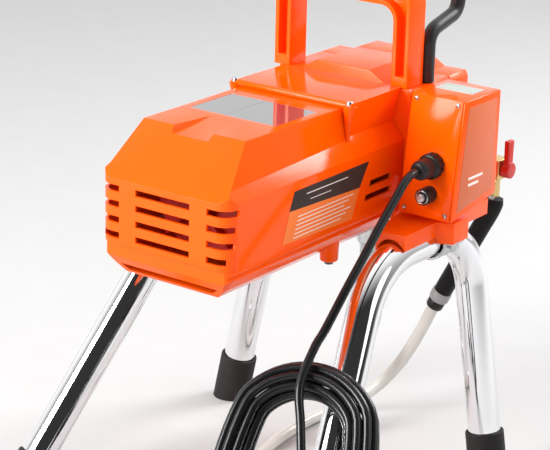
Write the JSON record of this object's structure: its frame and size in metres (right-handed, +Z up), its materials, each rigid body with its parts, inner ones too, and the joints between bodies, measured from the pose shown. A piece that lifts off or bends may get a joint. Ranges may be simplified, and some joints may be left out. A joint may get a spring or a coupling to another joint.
{
  "type": "airless paint sprayer",
  "caption": "Electric airless paint sprayer with a vented motor shroud, gear-driven piston pump, siphon and drain hoses, on a stand of two bent tubes.",
  "frame": {"origin": "centre of the footprint, on the floor under the four rubber feet, without the cord and the drain hose", "axes": "+Y from the vented motor nose at the back to the pump at the front, +Z up, +X towards the control box"},
  "size_m": [0.4081, 0.5078, 0.488],
  "materials": {
    "shroud_orange": "glossy moulded orange plastic",
    "cast_orange": "gloss orange paint over an aluminium casting",
    "handle_orange": "glossy orange plastic",
    "panel_orange": "satin orange panel",
    "chrome": "polished chrome",
    "foot_rubber": "matte charcoal rubber",
    "hook_black": "black powder coat",
    "gland_black": "black nylon",
    "cord_black": "glossy black cord sheath",
    "sleeve_black": "satin black rubber",
    "hose_clear": "milky translucent hose",
    "steel": "machined steel",
    "dark_steel": "dark oxide steel",
    "aluminium": "machined cast aluminium",
    "winding": "copper windings in a laminated stack",
    "brass": "machined brass",
    "fan_red": "dark red plastic",
    "handle_red": "red plastic",
    "board": "green circuit board"
  },
  "bodies": {
    "root": {"bearing_plate": "aluminium", "bottom_cover": "shroud_orange", "breaker_body": "gland_black", "carry_handle": "handle_orange", "circuit_board": "board", "clamp_strap_left": "steel", "clamp_strap_right": "steel", "control_box": "shroud_orange", "control_panel": "panel_orange", "cord_coil": "cord_black", "cord_gland": "gland_black", "cord_lead": "cord_black", "cord_tail": "cord_black", "cover_screw_left": "dark_steel", "cover_screw_right": "dark_steel", "crank_bearing_front": "steel", "crank_bearing_rear": "steel", "drain_hose": "hose_clear", "drain_sleeve": "sleeve_black", "drain_tip": "steel", "filter_housing": "steel", "fluid_manifold": "aluminium", "frame_tube_left": "chrome", "frame_tube_right": "chrome", "front_cover": "cast_orange", "front_end_bell": "aluminium", "front_foot_left": "foot_rubber", "front_foot_right": "foot_rubber", "gear_housing": "cast_orange", "hose_hook": "hook_black", "inlet_valve": "steel", "mains_plug": "gland_black", "motor_can": "dark_steel", "outlet_fitting": "brass", "packing_nut": "brass", "prime_valve": "brass", "pump_cylinder": "steel", "rear_end_bell": "aluminium", "rear_foot_left": "foot_rubber", "rear_foot_right": "foot_rubber", "shroud": "shroud_orange", "siphon_strainer": "steel", "siphon_tube": "steel", "stator": "winding", "tube_saddle_left": "cast_orange", "tube_saddle_right": "cast_orange"},
    "rotor": {"rotor_shaft": "steel", "rotor_core": "dark_steel", "cooling_fan": "fan_red"},
    "idler": {"idler_shaft": "steel", "idler_gear": "steel"},
    "crank": {"crank_gear": "steel", "crankshaft": "steel"},
    "piston": {"connecting_rod": "steel", "piston_rod": "chrome"},
    "inlet_check": {"inlet_ball": "steel"},
    "knob": {"pressure_knob": "gland_black"},
    "rocker": {"power_rocker": "gland_black"},
    "breaker": {"breaker_button": "steel"},
    "prime_lever": {"prime_handle": "handle_red"}
  },
  "joints": [
    {"name": "crank_spin", "type": "hinge", "parent": "root", "child": "crank", "pos_m": [-0.01, 0.12289, 0.346], "axis": [0, 1, 0], "continuous": true},
    {"name": "idler_spin", "type": "hinge", "parent": "root", "child": "idler", "pos_m": [0.03159, 0.11789, 0.33326], "axis": [0, 1, 0], "continuous": true},
    {"name": "rotor_spin", "type": "hinge", "parent": "root", "child": "rotor", "pos_m": [0, -0.01211, 0.316], "axis": [0, 1, 0], "continuous": true},
    {"name": "piston_stroke", "type": "slide", "parent": "root", "child": "piston", "axis": [0, 0, 1], "range_m": [-0.008, 0.008]},
    {"name": "inlet_ball_lift", "type": "slide", "parent": "root", "child": "inlet_check", "axis": [0, 0, 1], "range_m": [0, 0.0025]},
    {"name": "pressure_knob_turn", "type": "hinge", "parent": "root", "child": "knob", "pos_m": [0.12, 0.13589, 0.366], "axis": [0, 1, 0], "range_deg": [0, 270]},
    {"name": "power_rocker_tilt", "type": "hinge", "parent": "root", "child": "rocker", "pos_m": [0.12, 0.12689, 0.325], "axis": [1, 0, 0], "range_deg": [0, 16]},
    {"name": "breaker_button_push", "type": "slide", "parent": "root", "child": "breaker", "axis": [0, 1, 0], "range_m": [0, 0.003], "stiffness_N_per_m": 250, "springref_m": -0.001},
    {"name": "prime_handle_turn", "type": "hinge", "parent": "root", "child": "prime_lever", "pos_m": [0.1168, 0.20914, 0.29], "axis": [1, 0, 0], "range_deg": [0, 90]}
  ],
  "couplings": [
    {"joint": "idler_spin", "follows": "crank_spin", "ratio": -3.1429},
    {"joint": "rotor_spin", "follows": "crank_spin", "ratio": 15.714}
  ]
}
